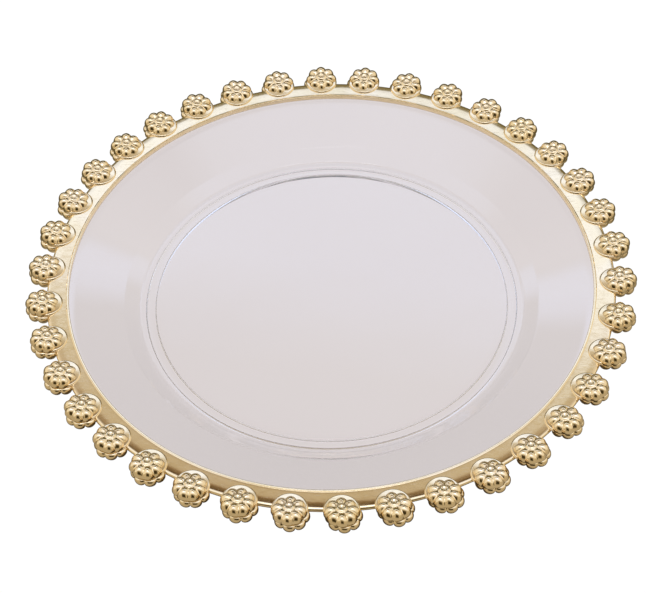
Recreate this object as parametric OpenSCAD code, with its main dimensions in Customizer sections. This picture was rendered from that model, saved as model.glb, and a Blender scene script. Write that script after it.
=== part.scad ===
// Round charger plate: a clear dish with a mirror-gold band round its edge and a ring of
// gold flower beads gripping the outer edge of the band. Each bead is a round button that
// stands on the band, a petalled flower leaning inward on top and a lobed cup below.
// Millimetres, +Z up. The origin is the centre of the circle that the foot stands on, z = 0.
// A bead lies on +Y and one on -Y.

/* [Overall] */
// Diameter over the flower beads
overall_d = 330; // [322:1:340]
// Height of the band's seat above the table
seat_z = 22; // [20:0.5:25]

/* [Clear plate] */
// Radius of the flat well floor
floor_r = 104.7; // [103.2:0.5:106.7]
// Radius of the crease where the rim starts
shoulder_r = 112.7; // [110.7:0.5:115.7]
// Height of the well wall
wall_h = 4.5; // [3:0.5:6]
// Thickness of the floor
floor_t = 3; // [2:0.25:3.5]
// Thickness of the rim, square to its slope
rim_t = 3; // [2.5:0.25:3.5]
// Middle radius of the foot ring
foot_r = 99; // [94:0.5:99.5]
// Width of the foot ring
foot_w = 5; // [4:0.5:6]
// Height of the foot ring
foot_h = 3; // [2:0.25:4]
// Radius of the rounding at the crease between wall and rim
shoulder_round = 1.6; // [0.5:0.1:3]
// Radius of the rounding between floor and wall
floor_round = 3; // [1:0.5:4]
// Width of the flat seat at the edge that carries the band
seat_w = 3.5; // [3.2:0.1:3.9]

/* [Gold band] */
// Width of the band
band_w = 12; // [11:0.25:12.5]
// Thickness of the band over its seat
band_t = 2.1; // [1.8:0.1:2.5]
// Depth by which the band wraps down past the plate's edge
band_skirt = 0.5; // [0.2:0.1:1]
// Width of the raised lip along the inner edge
lip_w = 1.5; // [1.3:0.1:2]
// Rise of the lip above the band
lip_rise = 0.4; // [0.25:0.05:0.5]
// Side clearance of the tongue in its groove
fit_gap = 0.1; // [0.05:0.05:0.2]

/* [Flower beads] */
// Number of beads round the rim
bead_count = 38; // [30:1:38]
// Outer radius of a bead over its lower lobes
bead_r = 9.4; // [9:0.1:10]
// Petals round each bead
petals = 8; // [7:1:9]
// Radius of the round button on the band
button_r = 8.9; // [8.5:0.1:9.1]
// Height of the button above the band
button_h = 1.1; // [0.9:0.1:1.4]
// Distance from a bead's axis inward to its button's axis
button_in = 2.2; // [1.6:0.1:2.6]
// Outer radius over the upper petals
petal_out = 9; // [8.7:0.1:9.2]
// Height of the petals above the flower's origin
petal_up = 3.1; // [2.9:0.1:3.5]
// Lean of the flower toward the middle of the plate, degrees
lean = 9; // [5:1:12]
// Sideways offset of the lower lobes from the upper flower
under_shift = 1; // [0:0.1:1.5]

/* [Hidden] */
$fn = 64;
bead_pitch_r = overall_d / 2 - bead_r;         // radius of the circle of bead axes
band_out_r = bead_pitch_r - 2;                 // outer edge of the band, inside the beads
band_in_r = band_out_r - band_w;               // inner edge of the band
seat_out_r = band_in_r + seat_w;               // edge of the clear plate
band_top = seat_z + band_t;
floor_z = foot_h + floor_t;                    // top of the well floor
crease_z = floor_z + wall_h;
flower_z = band_top + 1.2;                     // origin of the leaning flower
cup_z = seat_z - 0.1;                          // origin of the lobed cup
pitch_deg = 360 / bead_count;
tongue_w = 1.2;
tongue_h = 1;
tongue_r = band_in_r + 1.95;                   // middle radius of tongue and groove

function bead_name(i) = str("flower_bead_", i < 10 ? "0" : "", i);
function bead_angle(i) = 90 - (i - 1) * pitch_deg;

// Points of an arc of radius r that rounds the corner b of the path a-b-c
function unit(v) = v / norm(v);
function rounded(a, b, c, r, n = 6) =
    let (u = unit(a - b), v = unit(c - b),
         h = acos(u * v) / 2,
         m = b + unit(u + v) * r / sin(h),
         s = b + u * r / tan(h), e = b + v * r / tan(h),
         a0 = atan2(s[1] - m[1], s[0] - m[0]),
         d0 = atan2(e[1] - m[1], e[0] - m[0]) - a0,
         d = d0 > 180 ? d0 - 360 : d0 < -180 ? d0 + 360 : d0)
    [for (i = [0 : n]) m + r * [cos(a0 + d * i / n), sin(a0 + d * i / n)]];

// A line moved square to itself by t, met with another moved the same way
function normal_of(p, q) = let (d = unit(q - p)) [d[1], -d[0]];
function meet(p, d, q, e) =
    let (k = d[0] * e[1] - d[1] * e[0], w = q - p)
    p + d * ((w[0] * e[1] - w[1] * e[0]) / k);

// ---- Clear plate -------------------------------------------------------------------

p_floor = [floor_r, floor_z];
p_crease = [shoulder_r, crease_z];
p_seat = [band_in_r, seat_z];
n_wall = normal_of(p_floor, p_crease);
n_rim = normal_of(p_crease, p_seat);
under_crease = meet(p_floor + n_wall * rim_t, p_crease - p_floor,
                    p_crease + n_rim * rim_t, p_seat - p_crease);
under_floor = meet(p_floor + n_wall * rim_t, p_crease - p_floor, [0, foot_h], [1, 0]);
under_seat = meet(p_crease + n_rim * rim_t, p_seat - p_crease,
                  [0, seat_z - rim_t + 0.2], [1, 0]);

module plate_section() {
    polygon(concat(
        [[0, floor_z]],
        rounded([0, floor_z], p_floor, p_crease, floor_round),
        rounded(p_floor, p_crease, p_seat, shoulder_round),
        [p_seat,
         [tongue_r - tongue_w / 2, seat_z],
         [tongue_r - tongue_w / 2, seat_z + tongue_h],
         [tongue_r + tongue_w / 2, seat_z + tongue_h],
         [tongue_r + tongue_w / 2, seat_z]],
        rounded([tongue_r, seat_z], [seat_out_r, seat_z], [seat_out_r, 0], 0.2, 3),
        rounded([seat_out_r, seat_z], [seat_out_r, under_seat[1]], under_seat, 0.6, 4),
        [under_seat, under_crease],
        rounded(under_crease, under_floor, [foot_r, foot_h], 1, 4),
        [[foot_r + foot_w / 2, foot_h]],
        rounded([foot_r + foot_w / 2, foot_h], [foot_r + foot_w / 2, 0], [foot_r, 0], 0.8, 5),
        rounded([foot_r, 0], [foot_r - foot_w / 2, 0], [foot_r - foot_w / 2, foot_h], 0.8, 5),
        [[foot_r - foot_w / 2, foot_h], [0, foot_h]]
    ));
}

module clear_plate() {
    color([0.90, 0.87, 0.87, 0.45])
        rotate_extrude($fn = 180) plate_section();
}

// ---- Gold band ---------------------------------------------------------------------

module band_section() {
    lip_z = band_top + lip_rise;
    low_z = seat_z - band_skirt;
    groove_in = tongue_r - tongue_w / 2 - fit_gap;
    groove_out = tongue_r + tongue_w / 2 + fit_gap;
    groove_z = seat_z + tongue_h + fit_gap;
    polygon(concat(
        [[band_in_r, seat_z]],
        rounded([band_in_r, seat_z], [band_in_r, lip_z], [band_out_r, lip_z], 0.35, 5),
        rounded([band_in_r, lip_z], [band_in_r + lip_w - 0.5, lip_z], [band_in_r + lip_w, band_top], 0.4, 5),
        [[band_in_r + lip_w, band_top]],
        rounded([band_in_r, band_top], [band_out_r, band_top], [band_out_r, low_z], 0.9, 6),
        rounded([band_out_r, band_top], [band_out_r, low_z], [band_in_r, low_z], 0.5, 4),
        [[seat_out_r + fit_gap, low_z], [seat_out_r + fit_gap, seat_z],
         // groove for the plate's tongue
         [groove_out, seat_z], [groove_out, groove_z], [groove_in, groove_z], [groove_in, seat_z]]
    ));
}

module rim_band() {
    color([0.86, 0.75, 0.52])
        rotate_extrude($fn = 180) band_section();
}

// ---- Flower bead -------------------------------------------------------------------

// Part of a ball: the cap of radius edge and height top, with the rest of the ball below it
module cap(edge, top) {
    c = (edge * edge - top * top) / (2 * top);
    translate([0, 0, -c]) sphere(r = c + top, $fn = 96);
}

// Ring of balls with their outsides at radius out_r and their tops at height top
module lobes(ball_r, out_r, top) {
    for (k = [0 : petals - 1]) rotate([0, 0, k * 360 / petals])
        translate([out_r - ball_r, 0, top - ball_r]) sphere(r = ball_r, $fn = 40);
}

function lobe_r(out_r, overlap) = let (s = sin(180 / petals)) out_r * overlap * s / (1 + overlap * s);

// Upper flower, its axis on Z: petals, each a large outer ball and a small inner one, a lens
// that fills the ground between them, and a boss with a pit
module flower() {
    lobes(lobe_r(petal_out, 1.06), petal_out, petal_up);
    lobes(lobe_r(5.8, 1.06), 5.8, petal_up - 0.35);
    difference() {
        translate([0, 0, petal_up - 2.85]) sphere(r = 3.05, $fn = 48);
        translate([0, 0, petal_up + 0.65]) sphere(r = 0.95, $fn = 32);
    }
    translate([0, 0, -0.6]) intersection() {
        cap(petal_out - 1, 3.1);
        mirror([0, 0, 1]) cap(petal_out - 1, 1.5);
    }
}

// Round button that carries the flower: a drum with a rounded shoulder
module button() {
    edge = 0.8;
    rotate_extrude() {
        translate([0, seat_z]) square([button_r - edge, band_t + button_h]);
        translate([0, seat_z]) square([button_r, band_t + button_h - edge]);
        translate([button_r - edge, band_top + button_h - edge]) circle(r = edge, $fn = 32);
    }
}

// Lobed cup that hangs below the band, its axis on Z
module cup() {
    mirror([0, 0, 1]) lobes(lobe_r(bead_r, 1.06), bead_r, 3.8);
    rotate_extrude()
        polygon([[0, -2.6], [5.3, -2.4], [7, -1.75], [bead_r - 1.6, -0.9], [bead_r - 1.6, 1.9], [0, 1.9]]);
    translate([0, 0, -0.85]) sphere(r = 3.1, $fn = 48);
}

module flower_bead(i) {
    color([0.86, 0.75, 0.52])
    rotate([0, 0, bead_angle(i)]) difference() {
        union() {
            translate([bead_pitch_r, 0, flower_z]) rotate([0, -lean, 0]) flower();
            translate([bead_pitch_r - button_in, 0, 0]) button();
            translate([bead_pitch_r, under_shift, cup_z]) cup();
        }
        // slot that takes the outer edge of the band
        translate([band_out_r - 20, -15, seat_z - band_skirt])
            cube([20, 30, band_skirt + band_t]);
    }
}

clear_plate();
rim_band();
for (i = [1 : bead_count])
    flower_bead(i);
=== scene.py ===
import math

import bpy
import numpy as np
from mathutils import Matrix


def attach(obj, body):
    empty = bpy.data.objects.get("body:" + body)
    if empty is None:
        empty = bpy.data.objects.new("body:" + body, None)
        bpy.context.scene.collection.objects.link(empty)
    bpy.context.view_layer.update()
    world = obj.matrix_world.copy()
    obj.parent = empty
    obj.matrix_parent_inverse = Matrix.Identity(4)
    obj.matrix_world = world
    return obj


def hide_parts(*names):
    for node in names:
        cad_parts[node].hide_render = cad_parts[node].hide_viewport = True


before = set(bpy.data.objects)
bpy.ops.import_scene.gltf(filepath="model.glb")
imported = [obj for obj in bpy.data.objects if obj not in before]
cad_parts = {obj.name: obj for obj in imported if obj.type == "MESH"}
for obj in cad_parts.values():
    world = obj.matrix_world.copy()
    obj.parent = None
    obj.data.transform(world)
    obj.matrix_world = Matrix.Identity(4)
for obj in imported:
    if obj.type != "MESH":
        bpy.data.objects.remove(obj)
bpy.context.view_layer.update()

MM = 0.001
N = 38                    # flower beads
PITCH = 2 * math.pi / N
BEAD_R = 155.6            # circle of the bead axes
BAND_TOP = 24.1
BUTTON_IN = 1.8           # a button's axis lies this far inside its bead's axis
FLOWER_Z = 25.3           # origin of the flower on top of the button
TILT = math.radians(9)    # the flowers lean inward, outer side up
CUP_Z = 21.9              # origin of the lobed cup below


# ------------------------------------------------------------------ geometry helpers
def make_mesh(name, verts, faces, smooth=True):
    m = bpy.data.meshes.new(name)
    m.from_pydata((np.asarray(verts, float) * MM).tolist(), [], faces)
    m.update()
    m.polygons.foreach_set("use_smooth", [smooth] * len(m.polygons))
    return m


def add(name, mesh, mat, nodes=(), place=None):
    if place is not None:
        mesh = mesh.copy()
        mesh.name = name
        mesh.transform(place)
    o = bpy.data.objects.new(name, mesh)
    bpy.context.scene.collection.objects.link(o)
    mesh.materials.clear()
    mesh.materials.append(mat)
    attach(o, "root")
    if nodes:
        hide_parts(*nodes)
    return o


def spline(pts, n):
    """Catmull-Rom curve through pts, n points."""
    p = np.array(pts, float)
    q = np.vstack([2 * p[0] - p[1], p, 2 * p[-1] - p[-2]])
    out = []
    for v in np.linspace(0, len(p) - 1, n):
        i = min(int(v), len(p) - 2)
        f = v - i
        a, b, c, e = q[i], q[i + 1], q[i + 2], q[i + 3]
        out.append(0.5 * (2 * b + (c - a) * f + (2 * a - 5 * b + 4 * c - e) * f * f
                          + (3 * b - a - 3 * c + e) * f ** 3))
    return np.array(out)


def rounded(path, radii, n=8):
    """A closed path of (r, z) with each corner rounded by its radius."""
    p = [np.array(v, float) for v in path]
    out = []
    for i, b in enumerate(p):
        r = radii[i]
        a, c = p[i - 1], p[(i + 1) % len(p)]
        if r <= 0:
            out.append(b)
            continue
        u, v = (a - b) / np.linalg.norm(a - b), (c - b) / np.linalg.norm(c - b)
        h = math.acos(max(-1, min(1, float(u @ v)))) / 2
        m = b + (u + v) / np.linalg.norm(u + v) * r / math.sin(h)
        s, e = b + u * r / math.tan(h) - m, b + v * r / math.tan(h) - m
        a0, a1 = math.atan2(s[1], s[0]), math.atan2(e[1], e[0])
        d = (a1 - a0 + math.pi) % (2 * math.pi) - math.pi
        out += [m + r * np.array([math.cos(a0 + d * k / n), math.sin(a0 + d * k / n)])
                for k in range(n + 1)]
    return out


def fill_in(path, step):
    """The closed path with its long straight stretches cut into shorter ones."""
    out = []
    for i, a in enumerate(path):
        b = path[(i + 1) % len(path)]
        k = max(1, int(math.ceil(float(np.linalg.norm(np.array(b) - np.array(a))) / step)))
        out += [np.array(a) + (np.array(b) - np.array(a)) * j / k for j in range(k)]
    return out


def lathe(name, path, n):
    """A closed path of (r, z) turned about Z. Points on the axis become one vertex."""
    verts, rows = [], []
    for r, z in path:
        if r < 1e-6:
            rows.append([len(verts)] * n)
            verts.append((0, 0, z))
        else:
            rows.append(list(range(len(verts), len(verts) + n)))
            verts += [(r * math.cos(2 * math.pi * j / n), r * math.sin(2 * math.pi * j / n), z)
                      for j in range(n)]
    faces = []
    for i in range(len(rows)):
        a, b = rows[i], rows[(i + 1) % len(rows)]
        if a[0] == a[1] and b[0] == b[1]:
            continue
        for j in range(n):
            k = (j + 1) % n
            f = [a[j], b[j], b[k], a[k]]
            f = list(dict.fromkeys(f))
            faces.append(f)
    return make_mesh(name, verts, faces)


# ------------------------------------------------------------------ clear plate
def plate_path():
    t = 3.0
    fl, cr, st = np.array([104.7, 6.0]), np.array([112.7, 10.5]), np.array([141.6, 22.0])

    def off(p, q):
        d = (q - p) / np.linalg.norm(q - p)
        return np.array([d[1], -d[0]]) * t, d
    nw, dw = off(fl, cr)
    nr, dr = off(cr, st)

    def meet(p, d, q, e):
        k = d[0] * e[1] - d[1] * e[0]
        w = q - p
        return p + d * ((w[0] * e[1] - w[1] * e[0]) / k)
    uc = meet(fl + nw, dw, cr + nr, dr)
    uf = meet(fl + nw, dw, np.array([0, 3.0]), np.array([1.0, 0]))
    us = meet(cr + nr, dr, np.array([0, 19.2]), np.array([1.0, 0]))
    path = [(0, 6.0), tuple(fl), tuple(cr), tuple(st), (142.95, 22.0), (142.95, 23.0), (144.15, 23.0), (144.15, 22.0),
            (145.1, 22.0), (145.1, 19.2), tuple(us), tuple(uc), tuple(uf), (101.5, 3.0), (101.5, 0.0), (96.5, 0.0),
            (96.5, 3.0), (0, 3.0)]
    radii = [0, 3.0, 1.6, 0, 0, 0, 0, 0, 0.2, 0.6, 0, 1.2, 1.2, 0.5, 0.6, 0.6, 0.5, 0]
    pts = fill_in(rounded(path, radii, 10), 4.0)
    return [(float(r), float(z)) for r, z in pts]


# ------------------------------------------------------------------ gold band with pads
def band_path():
    """Lip, flat top, slowly falling outer part, round edge, underside with the groove for the tongue."""
    lip = rounded([(141.6, 22.03), (141.6, 24.35), (142.6, 24.45), (143.15, 24.1), (147.6, 24.1)], [0, 0.35, 0.42, 0.45, 0], 8)[:-1]
    fall = spline([(144.6, 24.1), (147.6, 24.1), (149.2, 24.08), (150.6, 24.0), (151.7, 23.9), (152.5, 23.72),
                   (153.1, 23.35), (153.42, 22.85), (153.45, 22.2), (153.2, 21.72), (152.6, 21.5)], 60)
    under = [(145.2, 21.5), (145.2, 22.03), (144.25, 22.03), (144.25, 23.1), (142.85, 23.1), (142.85, 22.03)]
    pts = fill_in([tuple(q) for q in lip] + [tuple(q) for q in fall] + under, 2.0)
    return [(float(r), float(z)) for r, z in pts]


def button_path(r=8.9, top=25.0, edge=0.8):
    """Round cushion that carries a flower: softly domed top, round shoulder, small fillet at the band."""
    pts = [(k * (r - edge) / 12, top + 0.4 * (1 - (k / 12) ** 2)) for k in range(12)]
    for k in range(13):
        a = math.pi / 2 * (1 - k / 12)
        pts.append((r - edge + edge * math.cos(a), top - edge + edge * math.sin(a)))
    pts += [(r + 0.08, 24.18), (r + 0.2, 24.08), (r + 0.2, 23.8), (r - 0.3, 23.2)]
    return pts


# ------------------------------------------------------------------ flower beads
BOSS = [(0, 2.8), (0.6, 2.83), (1.05, 3.05), (1.5, 3.27), (1.95, 3.28), (2.5, 3.0), (3.05, 2.55)]
UP_CREST = BOSS + [(3.5, 2.6), (4.3, 2.93), (5.2, 3.07), (6.1, 2.98), (7.0, 2.6), (7.8, 1.95), (8.4, 1.2), (8.8, 0.35),
                   (8.98, -0.5), (9.0, -1.4)]
UP_VALLEY = BOSS + [(3.4, 2.33), (3.9, 2.15), (5.0, 2.08), (6.0, 1.7), (6.9, 1.1), (7.5, 0.4), (7.9, -0.4), (8.05, -1.1),
                    (8.1, -1.8)]
UNDER = [(0, -3.55), (0.45, -3.6), (0.85, -3.85), (1.45, -3.95), (2.05, -3.8), (2.5, -3.4), (2.75, -3.1)]
LO_CREST = UNDER + [(3.15, -3.2), (4.4, -3.65), (6.0, -3.8), (7.4, -3.5), (8.5, -2.75), (9.2, -1.7), (9.37, -0.7),
                    (9.2, 0.3), (8.65, 1.1), (7.8, 1.6)]
LO_VALLEY = UNDER + [(3.05, -2.85), (4.0, -2.6), (5.3, -2.4), (6.5, -2.1), (7.4, -1.7), (7.9, -1.15), (8.1, -0.6),
                     (8.1, 0.0), (7.9, 0.6), (7.5, 1.1)]


def half_flower(crest, valley, ns, nt, shift=0.0, petals=8, soft=False):
    """Rows of points from the axis outward; w swells the section from valley to petal crest."""
    C, V = spline(crest, ns), spline(valley, ns)
    th = np.linspace(0, 2 * math.pi, nt, endpoint=False)
    u = ((th * petals / (2 * math.pi) + 0.5) % 1) - 0.5
    w = 1 - (np.abs(u) * 2) ** 1.8 if soft else np.sqrt(np.clip(1 - (0.97 * np.abs(u) * 2) ** 2, 0, 1))
    w = (w - w.min()) / (w.max() - w.min())
    rows = []
    for i in range(ns):
        rz = V[i][None] + w[:, None] * (C[i] - V[i])[None]
        rows.append(np.c_[rz[:, 0] * np.cos(th), rz[:, 0] * np.sin(th) + shift, rz[:, 1]])
    return rows


def shell(rows, base, flip):
    """Verts and faces of a closed shell from rows, capped at the last row."""
    nt = len(rows[0])
    verts = [tuple(rows[0][0])]
    for r in rows[1:]:
        verts += [tuple(v) for v in r]
    verts.append(tuple(rows[-1].mean(0)))
    tip, cap = 0, len(verts) - 1

    def ix(r, c):
        return 1 + (r - 1) * nt + c % nt
    faces = []
    for c in range(nt):
        faces.append((tip, ix(1, c), ix(1, c + 1)))
        for r in range(1, len(rows) - 1):
            faces.append((ix(r, c), ix(r + 1, c), ix(r + 1, c + 1), ix(r, c + 1)))
        faces.append((ix(len(rows) - 1, c), cap, ix(len(rows) - 1, c + 1)))
    if flip:
        faces = [f[::-1] for f in faces]
    return verts, [tuple(base + i for i in f) for f in faces]


def bead_mesh():
    """Flower on top, leaning inward, and the wider lobed cup below, turned a little aside of it."""
    rows = half_flower(UP_CREST, UP_VALLEY, 46, 128, soft=True)
    c, si = math.cos(TILT), math.sin(TILT)
    rows = [np.c_[q[:, 0] * c - q[:, 2] * si, q[:, 1], q[:, 0] * si + q[:, 2] * c + FLOWER_Z] for q in rows]
    v, f = shell(rows, 0, False)
    low = half_flower(LO_CREST, LO_VALLEY, 34, 112, shift=1.0)
    low = [q + np.array([0, 0, CUP_Z]) for q in low]
    v2, f2 = shell(low, len(v), True)
    path = button_path()
    turned = [np.array([(r * math.cos(2 * math.pi * j / 96) - BUTTON_IN, r * math.sin(2 * math.pi * j / 96), z)
                        for j in range(96)]) for r, z in path]
    v3, f3 = shell(turned, len(v) + len(v2), False)
    return make_mesh("flower", v + v2 + v3, f + f2 + f3)


# ------------------------------------------------------------------ materials
def node(nt, kind, **inputs):
    n = nt.nodes.new(kind)
    for k, v in inputs.items():
        n.inputs[k].default_value = v
    return n


def ramp(nt, stops):
    n = nt.nodes.new("ShaderNodeValToRGB")
    e = n.color_ramp.elements
    while len(e) > 1:
        e.remove(e[-1])
    e[0].position, e[0].color = stops[0][0], (*stops[0][1], 1)
    for p, c in stops[1:]:
        x = e.new(p)
        x.color = (*c, 1)
    return n


def scratches(nt, coords, scale, stretch, turn, cut):
    """Fine straight rub marks: stretched noise, 1 inside a mark and 0 elsewhere."""
    m = nt.nodes.new("ShaderNodeMapping")
    m.inputs["Scale"].default_value = stretch
    m.inputs["Rotation"].default_value = (0, 0, turn)
    nt.links.new(coords, m.inputs["Vector"])
    n = node(nt, "ShaderNodeTexNoise", Scale=scale, Detail=1.0)
    nt.links.new(m.outputs["Vector"], n.inputs["Vector"])
    r = nt.nodes.new("ShaderNodeMapRange")
    r.inputs["From Min"].default_value, r.inputs["From Max"].default_value = cut, cut + 0.05
    nt.links.new(n.outputs["Fac"], r.inputs["Value"])
    return r.outputs["Result"]


def worn(nt, rough, marks, amount):
    """The roughness raised by amount inside the marks."""
    n = nt.nodes.new("ShaderNodeMath")
    n.operation = "MULTIPLY_ADD"
    nt.links.new(marks, n.inputs[0])
    n.inputs[1].default_value = amount
    nt.links.new(rough, n.inputs[2])
    return n.outputs[0]


def gold_material():
    m = bpy.data.materials.new("gold_plating")
    m.use_nodes = True
    nt = m.node_tree
    b = nt.nodes["Principled BSDF"]
    b.inputs["Metallic"].default_value = 1.0
    tc = nt.nodes.new("ShaderNodeTexCoord")
    # slow colour drift of the plating
    big = node(nt, "ShaderNodeTexNoise", Scale=55.0, Detail=2.0)
    nt.links.new(tc.outputs["Object"], big.inputs["Vector"])
    col = ramp(nt, [(0.30, (0.93, 0.76, 0.48)), (0.5, (0.955, 0.785, 0.52)), (0.72, (0.97, 0.81, 0.57))])
    nt.links.new(big.outputs["Fac"], col.inputs["Fac"])
    nt.links.new(col.outputs["Color"], b.inputs["Base Color"])
    # fine haze in the shine
    fine = node(nt, "ShaderNodeTexNoise", Scale=900.0, Detail=3.0)
    nt.links.new(tc.outputs["Object"], fine.inputs["Vector"])
    rough = nt.nodes.new("ShaderNodeMapRange")
    rough.inputs["From Min"].default_value, rough.inputs["From Max"].default_value = 0.3, 0.7
    rough.inputs["To Min"].default_value, rough.inputs["To Max"].default_value = 0.07, 0.15
    nt.links.new(fine.outputs["Fac"], rough.inputs["Value"])
    # faint rub marks from wiping and stacking
    marks = scratches(nt, tc.outputs["Object"], 120.0, (1.0, 14.0, 1.0), 0.6, 0.64)
    nt.links.new(worn(nt, rough.outputs["Result"], marks, 0.10), b.inputs["Roughness"])
    # soft orange-peel of a plated moulding
    peel = node(nt, "ShaderNodeTexNoise", Scale=260.0, Detail=2.0)
    nt.links.new(tc.outputs["Object"], peel.inputs["Vector"])
    bump = node(nt, "ShaderNodeBump", Strength=0.15, Distance=0.0002)
    nt.links.new(peel.outputs["Fac"], bump.inputs["Height"])
    nt.links.new(bump.outputs["Normal"], b.inputs["Normal"])
    return m


def clear_material():
    m = bpy.data.materials.new("clear_body")
    m.use_nodes = True
    nt = m.node_tree
    b = nt.nodes["Principled BSDF"]
    out = nt.nodes["Material Output"]
    b.inputs["Transmission Weight"].default_value = 1.0
    b.inputs["IOR"].default_value = 1.49
    b.inputs["Specular IOR Level"].default_value = 0.5
    tc = nt.nodes.new("ShaderNodeTexCoord")
    cloud = node(nt, "ShaderNodeTexNoise", Scale=9.0, Detail=1.0)
    nt.links.new(tc.outputs["Object"], cloud.inputs["Vector"])
    col = ramp(nt, [(0.35, (0.965, 0.950, 0.952)), (0.65, (0.975, 0.962, 0.964))])
    nt.links.new(cloud.outputs["Fac"], col.inputs["Fac"])
    nt.links.new(col.outputs["Color"], b.inputs["Base Color"])
    haze = node(nt, "ShaderNodeTexNoise", Scale=420.0, Detail=4.0)
    nt.links.new(tc.outputs["Object"], haze.inputs["Vector"])
    rough = nt.nodes.new("ShaderNodeMapRange")
    rough.inputs["From Min"].default_value, rough.inputs["From Max"].default_value = 0.35, 0.75
    rough.inputs["To Min"].default_value, rough.inputs["To Max"].default_value = 0.01, 0.035
    nt.links.new(haze.outputs["Fac"], rough.inputs["Value"])
    # hairline scuffs left by dishes set down and wiped off
    marks = scratches(nt, tc.outputs["Object"], 60.0, (1.0, 30.0, 1.0), 0.9, 0.66)
    nt.links.new(worn(nt, rough.outputs["Result"], marks, 0.05), b.inputs["Roughness"])
    # the moulding's slow waviness
    wave = node(nt, "ShaderNodeTexNoise", Scale=22.0, Detail=1.0)
    nt.links.new(tc.outputs["Object"], wave.inputs["Vector"])
    bump = node(nt, "ShaderNodeBump", Strength=0.12, Distance=0.0006)
    nt.links.new(wave.outputs["Fac"], bump.inputs["Height"])
    nt.links.new(bump.outputs["Normal"], b.inputs["Normal"])
    # lamps shine through to the table, so the clear part casts only a light tint
    clear = nt.nodes.new("ShaderNodeBsdfTransparent")
    clear.inputs["Color"].default_value = (0.975, 0.96, 0.962, 1)
    lp = nt.nodes.new("ShaderNodeLightPath")
    either = nt.nodes.new("ShaderNodeMath")
    either.operation = "MAXIMUM"
    nt.links.new(lp.outputs["Is Shadow Ray"], either.inputs[0])
    nt.links.new(lp.outputs["Is Diffuse Ray"], either.inputs[1])
    mix = nt.nodes.new("ShaderNodeMixShader")
    nt.links.new(either.outputs[0], mix.inputs["Fac"])
    nt.links.new(b.outputs["BSDF"], mix.inputs[1])
    nt.links.new(clear.outputs["BSDF"], mix.inputs[2])
    nt.links.new(mix.outputs["Shader"], out.inputs["Surface"])
    return m


gold, clear = gold_material(), clear_material()

add("plate", lathe("plate", plate_path(), 512), clear, ["clear_plate"])
add("gold_rim", lathe("gold_rim", band_path(), 1024), gold, ["rim_band"])
flower = bead_mesh()
for i in range(N):
    turn = Matrix.Rotation(math.pi / 2 - i * PITCH, 4, "Z")
    add(f"flower_{i + 1:02d}", flower, gold, [f"flower_bead_{i + 1:02d}"],
        turn @ Matrix.Translation((BEAD_R * MM, 0, 0)))

# ------------------------------------------------------------------ floor
# An evenly lit plain table: white, and one plain grey-pink where it shows through the clear plate.
# Where the gold mirrors it, its colour is painted shade: a painted shadow of the plate, dark under the rim
# on the viewer's side, and a painted reflection tone behind the plate that darkens farther out.
S = 4.0
fm = bpy.data.meshes.new("floor")
fm.from_pydata([(-S, -S, -0.0001), (S, -S, -0.0001), (S, S, -0.0001), (-S, S, -0.0001)], [], [(0, 1, 2, 3)])
floor = bpy.data.objects.new("floor", fm)
bpy.context.scene.collection.objects.link(floor)
m = bpy.data.materials.new("floor")
m.use_nodes = True
nt = m.node_tree
nt.nodes.remove(nt.nodes["Principled BSDF"])


def link(src, dst):
    nt.links.new(src, dst)
    return dst.node


def math_node(op, a, b=None, c=None):
    n = nt.nodes.new("ShaderNodeMath")
    n.operation = op
    for i, v in enumerate((a, b, c)):
        if v is None:
            continue
        if isinstance(v, (int, float)):
            n.inputs[i].default_value = v
        else:
            nt.links.new(v, n.inputs[i])
    return n.outputs[0]


def smooth(value, lo, hi, to0=0.0, to1=1.0):
    n = nt.nodes.new("ShaderNodeMapRange")
    n.interpolation_type = "SMOOTHSTEP"
    nt.links.new(value, n.inputs["Value"])
    n.inputs["From Min"].default_value, n.inputs["From Max"].default_value = lo, hi
    n.inputs["To Min"].default_value, n.inputs["To Max"].default_value = to0, to1
    return n.outputs["Result"]


def blend(fac, a, b):
    """Colour a where fac is 0 and b where it is 1."""
    n = nt.nodes.new("ShaderNodeMix")
    n.data_type = "RGBA"
    ins = {i.identifier: i for i in n.inputs}
    outs = {o.identifier: o for o in n.outputs}
    for v, k in ((fac, "Factor_Float"), (a, "A_Color"), (b, "B_Color")):
        if isinstance(v, (int, float)):
            ins[k].default_value = v
        elif isinstance(v, tuple):
            ins[k].default_value = (*v, 1)
        else:
            nt.links.new(v, ins[k])
    return outs["Result_Color"]


tc = nt.nodes.new("ShaderNodeTexCoord")
sep = nt.nodes.new("ShaderNodeSeparateXYZ")
nt.links.new(tc.outputs["Object"], sep.inputs[0])
FX, FY = sep.outputs["X"], sep.outputs["Y"]
rad = math_node("SQRT", math_node("ADD", math_node("MULTIPLY", FX, FX), math_node("MULTIPLY", FY, FY)))
lp = nt.nodes.new("ShaderNodeLightPath")
through = (0.74, 0.695, 0.70)
# painted shade seen only in the gold: on the viewer's side a painted shadow of the plate, dark close in and mid-brown
# farther out; behind the plate a painted reflection tone, mid close in and dark olive farther out
near_painted_shadow = blend(smooth(rad, 0.166, 0.190), (0.07, 0.05, 0.025), (0.48, 0.41, 0.29))
far_painted_reflection = blend(smooth(rad, 0.150, 0.200), (0.45, 0.40, 0.30), (0.12, 0.10, 0.05))
painted_shade_in_gold = blend(smooth(FY, -0.09, 0.05), near_painted_shadow, far_painted_reflection)

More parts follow.
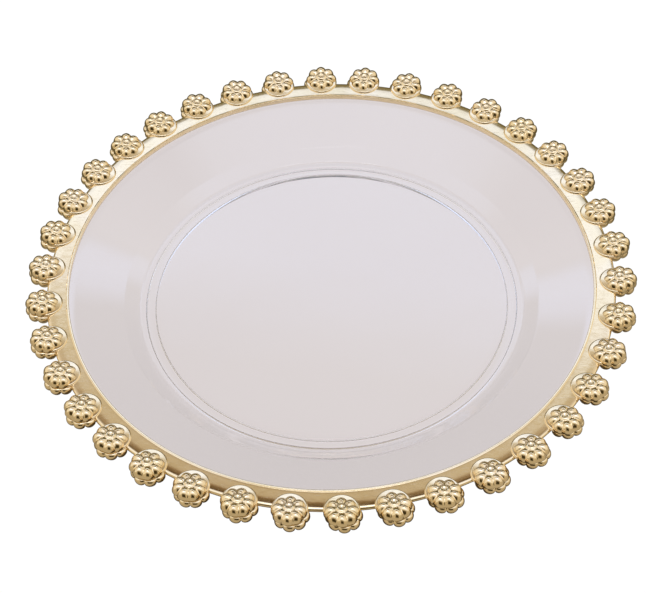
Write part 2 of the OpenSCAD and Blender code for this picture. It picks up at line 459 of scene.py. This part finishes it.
col = blend(math_node("GREATER_THAN", lp.outputs["Transmission Depth"], 0.5), painted_shade_in_gold, through)
col = blend(lp.outputs["Is Camera Ray"], col, (1.03, 1.03, 1.03))
em = nt.nodes.new("ShaderNodeEmission")
nt.links.new(col, em.inputs["Color"])
geo = nt.nodes.new("ShaderNodeNewGeometry")
see = nt.nodes.new("ShaderNodeBsdfTransparent")
mix = nt.nodes.new("ShaderNodeMixShader")
nt.links.new(geo.outputs["Backfacing"], mix.inputs["Fac"])
nt.links.new(em.outputs["Emission"], mix.inputs[1])
nt.links.new(see.outputs["BSDF"], mix.inputs[2])
nt.links.new(mix.outputs["Shader"], nt.nodes["Material Output"].inputs["Surface"])
fm.materials.append(m)

# ------------------------------------------------------------------ light
world = bpy.data.worlds.new("studio")
bpy.context.scene.world = world
world.use_nodes = True
nt = world.node_tree
bg = nt.nodes["Background"]
tc = nt.nodes.new("ShaderNodeTexCoord")
sep = nt.nodes.new("ShaderNodeSeparateXYZ")
nt.links.new(tc.outputs["Generated"], sep.inputs[0])
X, Y, Z = sep.outputs["X"], sep.outputs["Y"], sep.outputs["Z"]
# height angle in the plane through the viewer: 0 behind the plate, 90 overhead, 180 on the viewer's side
phi = math_node("MULTIPLY", math_node("ARCTAN2", Z, Y), 180 / math.pi)
phi = math_node("ADD", phi, math_node("MULTIPLY", math_node("LESS_THAN", phi, -90.0), 360.0))
phi = math_node("SUBTRACT", phi, math_node("MULTIPLY", math_node("MAXIMUM", math_node("MINIMUM", X, 0.5), -0.5), 11.0))
sky = [(-60, (0.22, 0.19, 0.11)), (0, (0.11, 0.09, 0.04)), (22, (0.15, 0.13, 0.06)), (36.5, (0.26, 0.23, 0.13)), (41, (0.93, 1.05, 1.36)),
       (42.8, (0.96, 1.10, 1.44)), (43.8, (1.08, 1.24, 1.60)), (48.0, (1.06, 1.19, 1.51)),
       (51.0, (0.64, 0.59, 0.48)), (56, (0.52, 0.44, 0.33)), (60, (0.30, 0.21, 0.12)), (65, (0.10, 0.06, 0.02)),
       (71, (0.12, 0.07, 0.03)), (77, (0.90, 0.93, 1.00)), (84, (1.08, 1.14, 1.32)), (110, (1.08, 1.14, 1.32)),
       (118, (0.90, 0.85, 0.72)), (124, (0.44, 0.38, 0.29)), (131, (0.30, 0.24, 0.15)), (136.5, (0.05, 0.035, 0.012)),
       (166, (0.04, 0.03, 0.01)), (172, (0.35, 0.30, 0.20)), (182, (0.48, 0.41, 0.29)), (240, (0.48, 0.41, 0.29))]
band = ramp(nt, [((p + 60) / 300, c) for p, c in sky])
nt.links.new(math_node("DIVIDE", math_node("ADD", phi, 60.0), 300.0), band.inputs["Fac"])
side = blend(smooth(Z, -0.05, 0.25), (0.50, 0.43, 0.31), (0.90, 0.84, 0.70))
viewer = smooth(phi, 126.0, 136.0)
side = blend(viewer, side, (0.55, 0.46, 0.31))
wide, tight = smooth(math_node("ABSOLUTE", X), 0.50, 0.85), smooth(math_node("ABSOLUTE", X), 0.36, 0.60)
aside = math_node("ADD", wide, math_node("MULTIPLY", viewer, math_node("SUBTRACT", tight, wide)))
lit = blend(aside, band.outputs["Color"], side)
# the dark gap ahead of the overhead light is narrow: it pales to either side
pale = math_node("MULTIPLY", smooth(phi, 49.0, 53.0), smooth(phi, 80.0, 74.0))
pale = math_node("MULTIPLY", pale, smooth(math_node("ABSOLUTE", X), 0.20, 0.44, 0.0, 0.65))
lit = blend(pale, lit, (0.90, 0.84, 0.76))
# a pale backdrop below, for looks at the underside
lit = blend(smooth(Z, -0.02, -0.14), lit, (0.84, 0.80, 0.72))
# a bright strip light overhead, just behind the middle of the set
strip = math_node("MULTIPLY", smooth(phi, 88.0, 90.0), smooth(phi, 98.0, 96.0))
strip = math_node("MULTIPLY", strip, smooth(math_node("ABSOLUTE", X), 0.22, 0.16))
lit = blend(strip, lit, (4.0, 4.1, 4.3))
lp = nt.nodes.new("ShaderNodeLightPath")
nt.links.new(blend(lp.outputs["Is Camera Ray"], lit, (1.0, 1.0, 1.0)), bg.inputs["Color"])
bg.inputs["Strength"].default_value = 1.0

# ------------------------------------------------------------------ camera
EL, ROLL, DIST, TX, TY, F = math.radians(48.85), math.radians(-2.15), 986.9, -3.99, -13.82, 1827.0
bk = np.array([0, -math.cos(EL), math.sin(EL)])
rt = np.cross([0, 0, 1], bk)
rt /= np.linalg.norm(rt)
up = np.cross(bk, rt)
c, s = math.cos(ROLL), math.sin(ROLL)
r2, u2 = c * rt + s * up, -s * rt + c * up
C = (bk * DIST + r2 * TX + u2 * TY + np.array([0, 0, 27.0])) * MM
cam = bpy.data.cameras.new("camera")
cam.sensor_width = 36
cam.lens = F / 646 * 36
cam.clip_start, cam.clip_end = 0.01, 20
co = bpy.data.objects.new("camera", cam)
bpy.context.scene.collection.objects.link(co)
co.matrix_world = Matrix.Rotation(math.radians(-0.25), 4, "Z") @ Matrix(((r2[0], u2[0], bk[0], C[0]), (r2[1], u2[1], bk[1], C[1]), (r2[2], u2[2], bk[2], C[2]),
                          (0, 0, 0, 1)))
bpy.context.scene.camera = co

sc = bpy.context.scene
sc.view_settings.view_transform = "Standard"
sc.cycles.use_denoising = True
sc.cycles.max_bounces = 16
sc.cycles.transmission_bounces = 12
sc.cycles.glossy_bounces = 6
sc.cycles.transparent_max_bounces = 16
